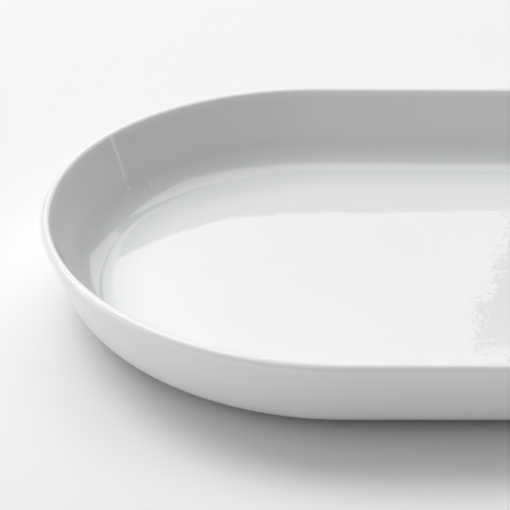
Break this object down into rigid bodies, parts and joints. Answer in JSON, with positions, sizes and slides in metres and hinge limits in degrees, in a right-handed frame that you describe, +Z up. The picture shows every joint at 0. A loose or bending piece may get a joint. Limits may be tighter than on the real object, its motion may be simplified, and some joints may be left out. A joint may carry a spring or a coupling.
{
  "type": "oblong serving plate",
  "caption": "Shallow oblong serving plate in white glazed stoneware, with half-round ends, a flared wall, a full-round lip and a low foot ring.",
  "frame": {"origin": "on the table, under the middle of the plate", "axes": "+X along the plate's length, +Y across its width, +Z up out of the well"},
  "size_m": [0.3, 0.18, 0.031],
  "materials": {
    "bare_clay": "matt, fired and ground smooth on the tread",
    "white_glaze": "gloss"
  },
  "bodies": {
    "root": {"clay_body": "bare_clay", "main_glaze": "white_glaze", "foot_recess_glaze": "white_glaze"}
  },
  "joints": []
}
